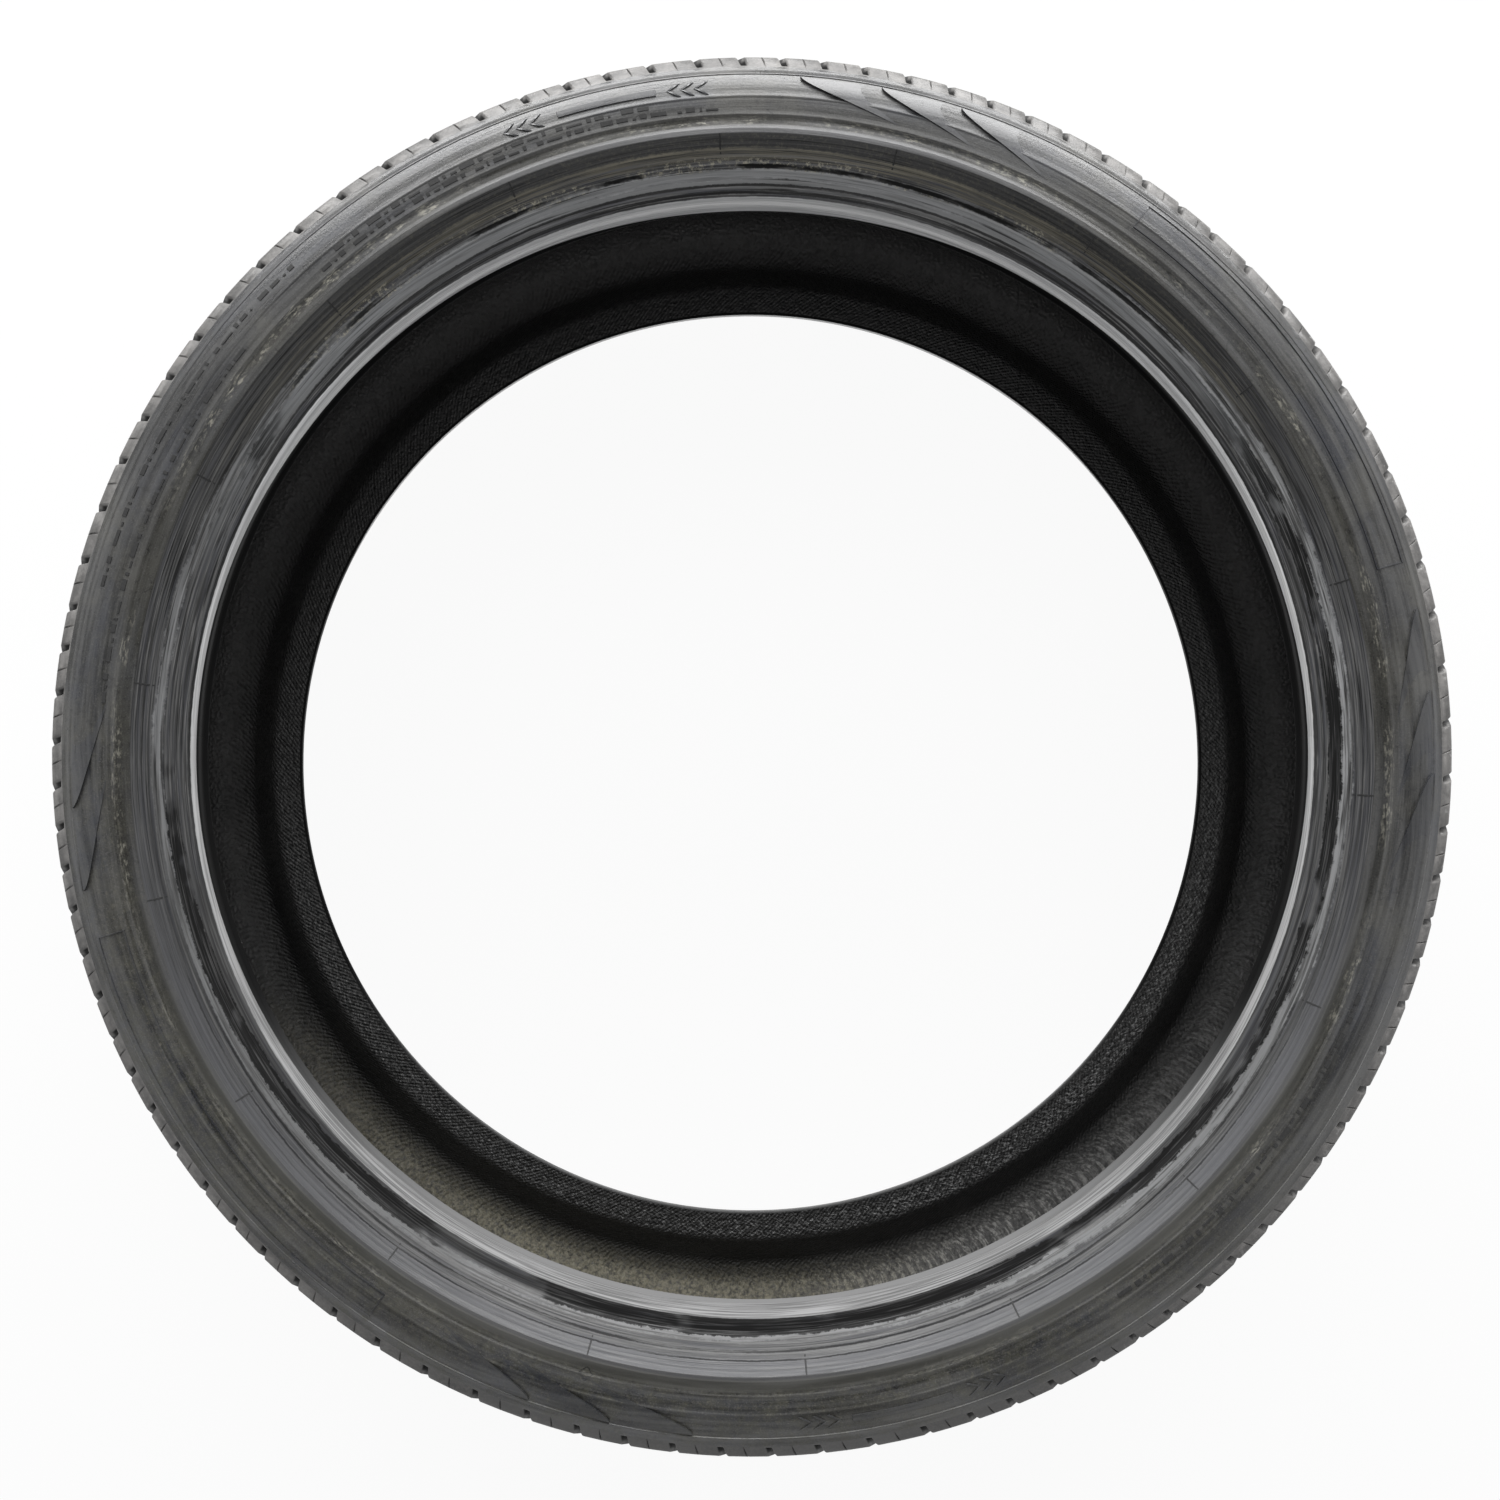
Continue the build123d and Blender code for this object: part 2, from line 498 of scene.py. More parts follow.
def finish_mesh(mesh, sharp_degrees):
    """Smooth shading, apart from the edges sharper than an angle."""
    mesh.polygons.foreach_set("use_smooth", [True] * len(mesh.polygons))
    mesh.validate()
    mesh.update()
    mesh.set_sharp_from_angle(angle=math.radians(sharp_degrees))


class Nodes:
    """Short names for making shader nodes in a tree."""

    def __init__(self, tree):
        self.tree = tree

    def link(self, value, socket):
        """Set a socket to a number or colour, or join it to another socket."""
        if isinstance(value, bpy.types.NodeSocket):
            self.tree.links.new(value, socket)
        else:
            socket.default_value = value

    def node(self, kind, inputs, **settings):
        """A new node with its settings made, and its inputs set or joined."""
        made = self.tree.nodes.new("ShaderNode" + kind)
        for name, value in settings.items():
            setattr(made, name, value)
        for key, value in inputs.items():
            self.link(value, made.inputs[key])
        return made

    def math(self, operation, first, second=0.0):
        return self.node("Math", {0: first, 1: second}, operation=operation).outputs[0]

    def chain(self, operation, values):
        """One value made from several, two at a time."""
        made = values[0]
        for value in values[1:]:
            made = self.math(operation, made, value)
        return made

    def add(self, *terms):
        return self.chain("ADD", terms)

    def times(self, *factors):
        return self.chain("MULTIPLY", factors)

    def highest(self, *values):
        return self.chain("MAXIMUM", values)


class Graph(Nodes):
    """Nodes of one rubber: the place on the tyre, patterns by place, and a colour laid up in layers."""

    def __init__(self, name):
        self.material = bpy.data.materials.new(name)
        self.material.use_nodes = True
        super().__init__(self.material.node_tree)
        self.read_place()

    def read_place(self):
        """Place on the tyre in millimetres: its radius, offset, direction and way along the section."""
        local = self.node("TexCoord", {}).outputs["Object"]
        self.place = self.node("VectorMath", {0: local, "Scale": 1.0 / MM}, operation="SCALE").outputs[0]
        x, y, self.offset = self.node("SeparateXYZ", {0: self.place}).outputs
        self.radius = self.math("SQRT", self.add(self.times(x, x), self.times(y, y)))
        self.height = self.math("ABSOLUTE", self.offset)
        self.east = self.math("DIVIDE", x, self.radius)
        self.north = self.math("DIVIDE", y, self.radius)
        self.side = self.times(self.east, self.east)
        self.turn = self.math("ARCTAN2", x, self.times(y, -1.0))
        self.along = self.add(self.radius, self.height)

    def point(self, x, y, z):
        return self.node("CombineXYZ", {0: x, 1: y, 2: z}).outputs[0]

    def noise(self, scale, detail=3.0, rough=0.55, vector=None):
        inputs = {"Vector": vector or self.place, "Scale": scale, "Detail": detail, "Roughness": rough}
        return self.node("TexNoise", inputs).outputs["Fac"]

    def cells(self, vector, scale):
        return self.node("TexVoronoi", {"Vector": vector, "Scale": scale}).outputs["Distance"]

    def streaks(self, around, per_mm, detail=3.0, shift=0.0):
        """Noise drawn out around the tyre, with its grain set along the section."""
        grain = self.add(self.times(self.along, per_mm), shift)
        vector = self.point(self.times(self.east, around), self.times(self.north, around), grain)
        return self.noise(1.0, detail, vector=vector)

    def sway(self, noise, amount):
        """Noise that swings about zero."""
        return self.times(self.add(noise, -0.5), amount)

    def span(self, value, low, high, out_low=0.0, out_high=1.0):
        """An eased step from one result to another, as the value goes from low to high."""
        inputs = {"Value": value, "From Min": low, "From Max": high, "To Min": out_low, "To Max": out_high}
        return self.node("MapRange", inputs, interpolation_type="SMOOTHSTEP").outputs["Result"]

    def fade(self, share, first, second):
        """An eased step from the first number to the second, by a share."""
        return self.span(share, 0.0, 1.0, first, second)

    def band(self, value, low, high, soft):
        """1 between low and high, falling to 0 over a soft edge outside them."""
        rise = self.span(value, self.add(low, -soft), low)
        fall = self.span(value, high, self.add(high, soft), 1.0, 0.0)
        return self.times(rise, fall)

    def mix(self, share, first, second):
        """A colour between the first and the second, by a share."""
        return self.node("Mix", {"Factor": share, 6: first, 7: second}, data_type="RGBA").outputs[2]

    def lay(self, tone, *shares):
        """Lay a tone over the colour so far, as strongly as the product of the shares."""
        self.colour = self.mix(self.times(*shares), self.colour, tone)

    def bump(self, height, millimetres, strength, **onto):
        """Small relief, which may lie on another one given as its Normal."""
        inputs = {"Strength": strength, "Distance": millimetres * MM, "Height": height, **onto}
        return self.node("Bump", inputs).outputs["Normal"]

    def finish(self, roughness, normal, specular):
        shader = self.tree.nodes["Principled BSDF"]
        self.link(self.colour, shader.inputs["Base Color"])
        self.link(roughness, shader.inputs["Roughness"])
        self.link(normal, shader.inputs["Normal"])
        self.link(specular, shader.inputs["Specular IOR Level"])
        return self.material


def grey(level, warm=0.0):
    """A grey, a little warmer or cooler."""
    return (level * (1.0 + warm), level, level * (1.0 - warm), 1.0)


# Tones of dust, dirt and worn rubber, and of painted light and highlights
BLUE_TINT = (0.032, 0.035, 0.046, 1.0)
OLIVE_DIRT = (0.048, 0.047, 0.036, 1.0)
BROWN_FILM = (0.060, 0.058, 0.050, 1.0)
BROWN_SPECK = (0.10, 0.094, 0.072, 1.0)
CREST_SCUFF_AND_HIGHLIGHT = (0.095, 0.095, 0.098, 1.0)
RAMP_PAINTED_LIGHT_TONE = (0.135, 0.133, 0.120, 1.0)
CRUMB_TONE = (0.22, 0.212, 0.18, 1.0)
RELIEF_TINT = (0.022, 0.024, 0.031, 1.0)
FLANK_TINT = (0.036, 0.038, 0.050, 1.0)
LIT_FLANK = (0.073, 0.074, 0.080, 1.0)
FLANK_SPECK = (0.072, 0.068, 0.056, 1.0)
BROWN_DUST = (0.16, 0.147, 0.11, 1.0)
CRUST_TONE = (0.36, 0.34, 0.27, 1.0)
OLIVE_DUST_AND_LIGHT = (0.215, 0.2, 0.146, 1.0)
GREY_DUST_AND_LIGHT = (0.24, 0.237, 0.226, 1.0)
BLACK = grey(0.0)
WHITE = grey(1.0)

# Bands of wear, of gloss and of painted light: low edge, high edge and softness. The first two go by height,
# the others by radius
BUTTRESS_BAND = (113.5, 121.0, 1.5)
CHIPPED_BAND = (112.6, 116.0, 0.8)
CRUMB_BAND = (286.6, 289.6, 1.6)
RAMP_PAINTED_LIGHT_BAND = (283.8, 287.6, 1.6)
DULL_RAMP_BAND = (285.8, 288.8, 0.9)
DULL_RIB_BAND = (280.0, 285.0, 1.0)
BROWN_BAND = (272.6, 276.0, 1.0)
SMEAR_BAND = (263.2, 268.6, 0.6)
CRUST_BAND = (268.8, 272.4, 1.2)
INNER_SCORE = (258.9, 259.8, 0.4)
MIDDLE_SCORE = (262.2, 263.0, 0.4)
OUTER_SCORE = (269.4, 270.4, 0.6)
LOW_SCORE = (272.4, 272.9, 0.4)
HIGH_SCORE = (275.6, 276.0, 0.3)
BELT_BAND = (262.5, 267.5, 7.0)

# Black band beside the bead, which shifts outwards at the sides, and its pale edge
BLACK_BAND_RADIUS = 262.9
BLACK_BAND_SHIFT = 4.6
BLACK_BAND_SOFT = 0.6
PALE_EDGE = (3.2, 5.4, 1.3)

# Edges of the pale bead: radius at the heel and height at the toe, to the south and to the north
HEEL_EDGES = (258.3, 257.5)
TOE_EDGES = (95.1, 93.5)
BEAD_EDGE_SOFT = 0.4


def tread_material():
    """Black rubber with painted shade in the grooves, and a dusty skin on the shoulders, partly painted
    light on the buttress.
    """
    g = Graph("tread_rubber")
    patches = g.noise(0.02, 4.0)
    fine = g.noise(0.7, 3.0)
    dust = g.times(g.span(patches, 0.35, 0.7), g.span(fine, 0.35, 0.75))
    g.colour = g.mix(dust, grey(0.018), grey(0.07, 0.05))

    # Pale dust on the buttress, weaker due south; partly painted light, its tone raised where the lamps
    # light it less. Chipped to the east
    buttress = g.band(g.height, *BUTTRESS_BAND)
    streak = g.span(g.streaks(9.0, 0.5), 0.25, 0.65, 0.3, 0.8)
    blotch = g.span(g.noise(0.16, 4.0, 0.7), 0.3, 0.65, 0.4, 1.0)
    lit = g.span(g.north, -0.98, -0.7, 0.3, 1.3)
    g.lay(grey(0.17, 0.04), buttress, streak, lit, blotch)
    chips = g.span(g.noise(0.2, 3.0, 0.6), 0.6, 0.68)
    east = g.span(g.east, 0.3, 0.8, 0.0, 0.8)
    g.lay(grey(0.3, 0.02), chips, g.band(g.height, *CHIPPED_BAND), east)

    # Painted shade in the grooves: darker with depth below the crown or the buttress
    crown = g.add(g.times(g.offset, g.offset, -0.5 / CROWN_ARC_RADIUS), OUTER_RADIUS)
    slope = -BUTTRESS_HEIGHT / BUTTRESS_FLARE
    wall = g.add(g.times(g.add(g.height, -TREAD_EDGE), slope), EDGE_RADIUS)
    depth = g.math("SUBTRACT", g.math("MINIMUM", crown, wall), g.radius)
    sunk = g.times(g.span(depth, 0.8, 3.0), g.span(g.east, 0.2, 0.85, 1.0, 0.5))
    g.lay(grey(0.010), sunk)
    rough = g.span(patches, 0.3, 0.7, 0.42, 0.6)
    gloss = g.add(0.45, g.times(buttress, 0.3))
    return g.finish(rough, g.bump(fine, 0.25, 0.5), g.fade(sunk, gloss, 0.16))


def sidewall_colour(g):
    """Dusty skin of the sidewall: long streaks, blue-grey and brown tints, blotches of dirt to the south."""
    broad = g.span(g.streaks(2.0, 0.08, 3.0), 0.3, 0.7)
    long_streak = g.streaks(5.0, 0.4, 4.0, 7.0)
    thin_streak = g.span(g.streaks(26.0, 1.5, 3.0, 31.0), 0.35, 0.75)
    dust = g.add(
        g.times(broad, 0.35),
        g.times(g.span(long_streak, 0.32, 0.7), 0.4),
        g.times(thin_streak, 0.3),
    )
    reach = g.span(g.radius, 297.0, 311.0, 0.75, 1.6)
    g.colour = g.mix(g.times(dust, reach), grey(0.004, -0.05), grey(0.05))
    tint = g.span(g.streaks(4.0, 0.15, 2.0, 55.0), 0.42, 0.7)
    g.lay(BLUE_TINT, tint, 0.5)

    # Dirt to the south, and a brown film that thickens inwards
    south = g.span(g.add(g.north, g.times(g.east, 0.35)), 0.1, -0.9)
    blotch = g.span(g.noise(0.13, 5.0, 0.7), 0.38, 0.66)
    dirt = g.times(blotch, south, 0.75)
    g.lay(OLIVE_DIRT, dirt)
    film = g.span(g.noise(0.022, 5.0, 0.65), 0.46, 0.64)
    film = g.highest(film, g.times(g.span(g.radius, 297.0, 288.0), 0.7))
    g.lay(BROWN_FILM, film, 0.55)

    # Mottle, grit and specks
    mottle = g.span(g.noise(0.3, 5.0, 0.75), 0.52, 0.68)
    g.lay(grey(0.003), mottle, 0.6)
    grit = g.span(g.noise(1.3, 3.0, 0.7), 0.52, 0.68)
    g.lay(grey(0.09, 0.03), grit, g.fade(south, 0.4, 0.65))
    specks = g.span(g.noise(0.5, 5.0, 0.75), 0.54, 0.68)
    g.lay(BROWN_SPECK, specks, g.fade(south, 0.2, 1.0), 0.5)

    sheen = g.times(g.span(g.north, 0.0, 0.8, 0.2, 0.09), 2.0)
    gloss = g.add(
        g.span(g.radius, 295.0, 309.0, 0.45, 0.75),
        g.times(south, -0.14),
        g.sway(g.span(long_streak, 0.32, 0.68), sheen),
    )
    return dust, dirt, gloss


def sidewall_material():
    """Dusty satin rubber of the sidewall, with pale dirt caught beside the rim protector, and painted light
    and a painted highlight on the protector's crest and ramp.
    """
    g = Graph("sidewall_rubber")
    dust, dirt, gloss = sidewall_colour(g)

    # Crest of the rim protector, pale to the north and south, partly scuffing and partly a painted
    # highlight; and to the south a painted light on its ramp, which faces away from the lamps
    ends = g.highest(g.span(g.north, 0.1, -0.6), g.span(g.north, 0.8, 0.97))
    g.lay(CREST_SCUFF_AND_HIGHLIGHT, g.span(g.radius, 286.0, 283.4), ends, 0.8)
    painted_ramp_light = g.times(g.band(g.radius, *RAMP_PAINTED_LIGHT_BAND), g.span(g.north, -0.1, -0.75, 0.0, 0.75))
    g.lay(RAMP_PAINTED_LIGHT_TONE, painted_ramp_light)

    # Broken line of pale crumbs
    wander = g.sway(g.noise(0.05, 4.0, 0.65), 4.0)
    line = g.band(g.add(g.radius, wander), *CRUMB_BAND)
    run = g.span(g.streaks(4.0, 0.01, 4.0, 77.0), 0.38, 0.58)
    crumbs = g.span(g.streaks(90.0, 1.3, 4.0, 19.0), 0.46, 0.62)
    clumps = g.span(g.noise(0.12, 4.0, 0.7), 0.42, 0.62, 0.15, 1.0)
    worn_off = g.span(g.north, -0.5, -0.9, 0.85, 0.45)
    g.lay(CRUMB_TONE, line, run, crumbs, clumps, worn_off)

    # Less gloss on the ramp, and on the rib at the sides
    ramp = g.times(g.band(g.radius, *DULL_RAMP_BAND), g.span(g.north, -0.3, -0.9, -0.26, -0.04))
    rib = g.times(g.band(g.radius, *DULL_RIB_BAND), g.side, -0.2)
    gloss = g.add(gloss, g.span(g.radius, 291.0, 286.0, 0.0, -0.1), ramp, rib)
    rough = g.add(g.span(dust, 0.15, 0.85, 0.26, 0.42), g.times(dirt, 0.2))
    rings = g.bump(g.streaks(6.0, 0.9, 3.0, 91.0), 0.4, 0.35)
    normal = g.bump(g.noise(0.9, 4.0, 0.7), 0.3, 0.4, Normal=rings)
    return g.finish(rough, normal, g.highest(gloss, 0.05))


def relief_material():
    """Smoother rubber on the raised marks of the sidewall."""
    g = Graph("relief_rubber")
    dust, dirt, gloss = sidewall_colour(g)
    g.lay(RELIEF_TINT, 0.4)
    rough = g.add(g.span(dust, 0.2, 0.8, 0.25, 0.36), g.times(dirt, 0.14))
    normal = g.bump(g.noise(1.1, 3.0), 0.2, 0.2)
    return g.finish(rough, normal, gloss)


def mark_material():
    """Dull dark rubber of the small marks."""
    g = Graph("mark_rubber")
    fine = g.noise(0.9, 3.0)
    g.colour = g.mix(fine, grey(0.01), grey(0.04))
    return g.finish(0.5, g.bump(fine, 0.2, 0.3), 0.24)


class WornGraph(Graph):
    """Nodes of the rubber beside the rim, with what its worn rings share."""

    def __init__(self, name):
        super().__init__(name)
        self.in_south = self.span(self.north, 0.2, -0.6)
        self.in_north = self.span(self.north, 0.35, 0.85)
        self.in_west = self.span(self.east, -0.2, -0.7)
        self.dull = self.times(self.span(self.east, 0.15, 0.65), self.span(self.north, -0.6, -0.1))
        self.line_mid = self.streaks(7.0, 0.5, 4.0, 23.0)
        self.line_fine = self.streaks(9.0, 1.3, 5.0, 47.0)
        self.ragged = self.sway(self.noise(0.3, 4.0, 0.75), 3.2)
        self.worn_radius = self.add(self.radius, self.ragged)


def flank_lines(g):
    """Fine concentric lines over dark rubber."""
    long_line = g.span(g.streaks(2.6, 0.8, 4.0, 11.0), 0.38, 0.62)
    low = g.mix(g.in_south, grey(0.008), grey(0.035))
    g.colour = g.mix(long_line, low, grey(0.11))
    bright = g.span(g.line_fine, 0.5, 0.66)
    g.lay(grey(0.21, 0.01), bright, g.fade(g.in_south, 0.8, 0.45))
    g.lay(FLANK_TINT, g.span(g.line_mid, 0.45, 0.65), 0.5)


def upper_flank(g):
    """Flank painted darker to the south as painted shade where the lamps light it most, and its upper part
    painted pale there as painted light; to the north the upper part painted dark as painted shade, with
    specks and brown dust.
    """
    upper = g.span(g.worn_radius, 274.2, 276.4)
    # Painted shade: the flank is darker to the south, where the lamps light it most
    g.lay(BLACK, g.in_south, 0.35)
    # Painted light: the upper flank is paler to the south, in streaks
    lit = g.span(g.line_mid, 0.25, 0.6, 0.35, 0.85)
    g.lay(LIT_FLANK, upper, g.in_south, lit)
    # Painted shade: the upper flank is dark to the north
    g.lay(grey(0.009), upper, g.in_north, 0.8)
    specks = g.span(g.noise(0.55, 4.0, 0.75), 0.5, 0.64)
    g.lay(FLANK_SPECK, specks, upper, g.in_north, 0.7)
    brown = g.band(g.worn_radius, *BROWN_BAND)
    g.lay(BROWN_DUST, brown, g.in_north, g.span(g.line_fine, 0.35, 0.65))


def flank_smears(g):
    """Painted shade to the west and the south-east, and to the north pale smears with a crust outside them.
    """
    # Painted shade: darker to the west and the south-east
    g.lay(BLACK, g.add(g.times(g.in_west, 0.35), g.times(g.dull, 0.25)))
    smear = g.band(g.worn_radius, *SMEAR_BAND)
    thin = g.span(g.line_mid, 0.3, 0.55, 0.35, 1.0)
    tone = g.mix(g.span(g.radius, 264.5, 267.0), grey(0.14, -0.02), grey(0.30, -0.02))
    g.lay(tone, smear, g.span(g.north, 0.2, 0.8), thin)
    crust = g.band(g.worn_radius, *CRUST_BAND)
    flakes = g.span(g.noise(0.4, 5.0, 0.8), 0.5, 0.62)
    run = g.span(g.streaks(6.0, 0.1, 4.0, 29.0), 0.42, 0.56)
    g.lay(CRUST_TONE, crust, flakes, g.in_north, run)


def black_band(g):
    """Black band on the flange face, with a pale ragged edge outside it."""
    south_east = g.times(g.in_south, g.span(g.east, 0.15, 0.65))
    wobble = g.sway(g.streaks(7.0, 0.03, 4.0, 3.0), g.fade(g.in_south, 3.5, 1.6))
    centre = g.add(g.times(g.side, BLACK_BAND_SHIFT), BLACK_BAND_RADIUS, wobble)
    torn = g.sway(g.noise(0.09, 3.0, 0.6), g.fade(south_east, 2.0, 5.0))
    away = g.add(g.math("SUBTRACT", g.worn_radius, centre), torn)

    # Pale edge, weaker to the west
    edge = g.times(g.band(away, *PALE_EDGE), g.span(g.line_mid, 0.38, 0.56))
    edge_tone = g.mix(g.in_south, grey(0.30, -0.01), grey(0.145, -0.01))
    g.lay(edge_tone, edge, g.fade(g.in_west, 0.9, 0.5))

    # Black band, broken here and there, and gone to the north
    start = g.add(0.34, g.times(g.in_west, g.span(g.north, -0.45, -0.1), 0.16))
    whole = g.span(g.streaks(5.0, 0.03, 4.0, 41.0), start, g.add(start, 0.1), 0.1, 1.0)
    broad = g.fade(south_east, g.fade(g.in_south, 1.0, 1.15), 0.86)
    width = g.times(g.span(g.side, 0.1, 0.8, 3.5, 2.2), broad)
    black = g.times(
        g.band(away, g.times(width, -1.0), width, BLACK_BAND_SOFT),
        whole,
        g.fade(g.in_north, 1.0, 0.05),
        g.span(g.line_fine, 0.46, 0.66, 1.0, 0.45),
    )
    g.lay(grey(0.007), black)
    return black


def flank_scores(g):
    """Thin dark lines scored around the flank."""
    calm_radius = g.add(g.radius, g.times(g.ragged, 0.3))
    broken = g.span(g.streaks(9.0, 0.05, 4.0, 61.0), 0.4, 0.56)
    inner = g.times(g.band(calm_radius, *INNER_SCORE), g.fade(g.in_south, 0.7, 0.0))
    middle = g.times(g.band(calm_radius, *MIDDLE_SCORE), g.fade(g.in_north, 0.2, 0.85))
    outer = g.times(g.band(calm_radius, *OUTER_SCORE), g.in_north, broken)
    pair = g.highest(g.band(calm_radius, *LOW_SCORE), g.band(calm_radius, *HIGH_SCORE))
    pair = g.times(pair, g.in_south, g.span(g.line_mid, 0.35, 0.55, 0.3, 0.75))
    thin = g.highest(inner, pair, middle, outer)
    g.lay(grey(0.006), thin)
    return thin


def flank_looks(g):
    """Colour of the worn flank, and its shadow, roughness and gloss."""
    flank_lines(g)
    upper_flank(g)
    flank_smears(g)
    dark = g.span(g.streaks(5.0, 0.8, 5.0, 83.0), 0.55, 0.66)
    dark = g.times(dark, g.fade(g.in_south, 0.85, 0.34))
    g.lay(grey(0.006), dark)
    black = black_band(g)
    thin = flank_scores(g)
    shadow = g.highest(black, thin, g.times(dark, 0.75))
    rough = g.span(g.line_mid, 0.3, 0.7, 0.34, 0.5)
    return shadow, rough, g.fade(g.dull, 0.44, 0.3)


def flank_material():
    """Worn rubber between the rim protector and the heel."""
    g = WornGraph("flank_rubber")
    shadow, rough, gloss = flank_looks(g)
    rings = g.bump(g.streaks(5.0, 1.3, 3.0, 67.0), 0.5, 0.42)
    normal = g.bump(g.noise(0.8, 3.0), 0.2, 0.3, Normal=rings)
    return g.finish(rough, normal, g.fade(shadow, gloss, 0.1))


def bead_material():
    """Pale, scuffed rubber of the bead's heel and seat, painted paler to the north as a painted reflection,
    with a toe painted dark as painted shade and pale to the south as painted light.
    """
    g = WornGraph("bead_rubber")
    streak = g.streaks(6.0, 1.2, 4.0, 5.0)
    scuff = g.span(streak, 0.38, 0.62)
    # Seat painted paler to the north, a painted reflection over pale rubber, and darker to the south, where
    # the lamps light it
    south_tone = g.mix(scuff, grey(0.10), grey(0.235))
    north_pale_and_reflected_tone = g.mix(scuff, grey(0.6), grey(0.82))
    seat = g.mix(g.span(g.north, -0.8, 0.9), south_tone, north_pale_and_reflected_tone)

    # Wear of the flank down to the heel
    shadow, worn_rough, worn_gloss = flank_looks(g)
    edge = g.add(g.radius, g.sway(g.noise(0.2, 3.0), 0.5))
    heel_edge = g.add(
        g.span(g.north, 0.55, 0.95, *HEEL_EDGES),
        g.times(g.side, 0.4),
        g.times(g.span(g.north, -0.2, -0.8), 1.3),
    )
    heel = g.span(edge, heel_edge, g.add(heel_edge, BEAD_EDGE_SOFT))
    g.colour = g.mix(heel, seat, g.colour)

    # Toe painted dark as painted shade, reaching higher at the sides, and pale to the south as painted light
    # where light falls on it; and the back of the bead
    north_west = g.times(g.span(g.north, 0.3, 0.7), g.span(g.east, -0.2, -0.7))
    rise = g.times(g.side, g.fade(north_west, 9.4, 4.6))
    toe_edge = g.add(g.span(g.north, 0.6, 0.95, *TOE_EDGES), rise)
    toe = g.span(g.height, toe_edge, g.add(toe_edge, -BEAD_EDGE_SOFT))
    toe_light_and_shade_tone = g.mix(g.span(g.north, -0.4, -0.95), grey(0.010), grey(0.17))
    g.lay(toe_light_and_shade_tone, toe)
    back = g.span(g.height, 92.4, 91.2)
    g.lay(grey(0.02), back)

    rough = g.highest(g.span(g.north, -0.6, 0.3, 0.6, 0.18), g.times(heel, worn_rough))
    dull = g.highest(g.times(heel, g.fade(shadow, 0.4, 1.0)), toe, back)
    bare = g.times(toe, g.span(g.north, -0.8, -0.4))
    shine = g.fade(scuff, g.span(g.north, -0.7, 0.1, 0.3, 0.48), 0.64)
    gloss = g.fade(dull, g.fade(heel, shine, worn_gloss), 0.12)
    return g.finish(rough, g.bump(streak, 0.1, 0.25), g.times(gloss, g.fade(bare, 1.0, 0.1)))


def liner_material():
    """Near-black inner liner with a pebbled skin over slanting cords, painted glints, and pale dust where
    light falls in, partly a painted pool of light.
    """
    g = Graph("liner_rubber")
    fine = g.noise(1.2, 3.0, 0.7)
    coarse = g.noise(0.45, 4.0, 0.7)
    cords = g.math("SINE", g.add(g.times(g.turn, 620.0), g.times(g.along, 2.0)))
    slanted = g.add(g.times(g.turn, 140.0), g.times(g.along, -0.5))
    hatch = g.noise(1.0, 4.0, 0.7, g.point(slanted, g.times(g.along, 0.46), 0.0))
    skin = g.add(
        g.times(g.cells(g.place, 0.5), -0.7),
        g.times(cords, 0.12),
        g.times(fine, 0.4),
        g.times(hatch, g.span(g.offset, -80.0, -96.0), 0.8),
    )
    patches = g.span(g.noise(0.03, 3.0), 0.35, 0.7)
    g.colour = g.mix(patches, grey(0.021), grey(0.042, 0.02))
    g.lay(grey(0.075, 0.02), g.span(g.north, -0.3, 0.6, 0.0, 0.6))

    # Far bead: painted darker to the south, a painted shade where the lamps light it most, with painted
    # glints along it
    far = g.times(g.span(g.offset, -70.0, -85.0), g.span(g.radius, 289.0, 268.0))
    g.lay(g.mix(g.span(coarse, 0.35, 0.7), grey(0.035), grey(0.10, 0.02)), far)
    wander = g.sway(g.noise(0.02, 3.0), 0.35)
    south = g.span(g.add(g.north, wander), -0.3, -1.0)
    g.lay(grey(0.012), far, south, 0.85)
    belt = g.times(far, g.band(g.radius, *BELT_BAND))
    glint = g.times(g.span(hatch, 0.47, 0.62), g.span(coarse, 0.4, 0.6, 0.15, 1.0), belt)
    lit = g.times(g.span(g.north, 0.35, -0.4), g.span(g.east, -0.3, 0.6, 0.5, 1.0))
    g.lay(grey(0.4), glint, lit)

    # Far wall: pale dust to the south, partly a painted pool of light where the lamps' light falls in, drawn
    # out in strokes to the east, and a painted light on the east side
    far_wall = g.times(g.span(g.offset, -70.0, -95.0), g.span(g.radius, 285.0, 303.0))
    strokes = g.span(hatch, 0.42, 0.62)
    net = g.span(g.east, -0.2, 0.4, 1.0, g.fade(strokes, 0.2, 1.35))
    dust = g.times(south, far_wall, g.span(coarse, 0.3, 0.66, 0.1, 1.0), net, 0.9)
    dust_and_light_tone = g.mix(g.span(g.east, 0.0, 0.5), OLIVE_DUST_AND_LIGHT, GREY_DUST_AND_LIGHT)
    g.lay(dust_and_light_tone, g.math("MINIMUM", dust, 1.0))
    side_light = g.times(far_wall, g.span(g.east, 0.35, 0.85), g.span(g.north, 0.3, -0.3))
    g.lay(grey(0.12), side_light, strokes, 0.4)
    rough = g.span(fine, 0.3, 0.7, 0.3, 0.5)
    return g.finish(rough, g.bump(skin, 1.2, 0.9), 0.4)


# Raised marks: how far they are sunk in, and how far their sides lean in, in millimetres
MARK_SUNK = 0.6
MARK_SLOPE = 0.35
BAR_STEP_DEG = 1.0
FIN_STEP = 3.0
FIN_END_SHARE = 0.3
FIN_SLOPE_SHARE = 0.8

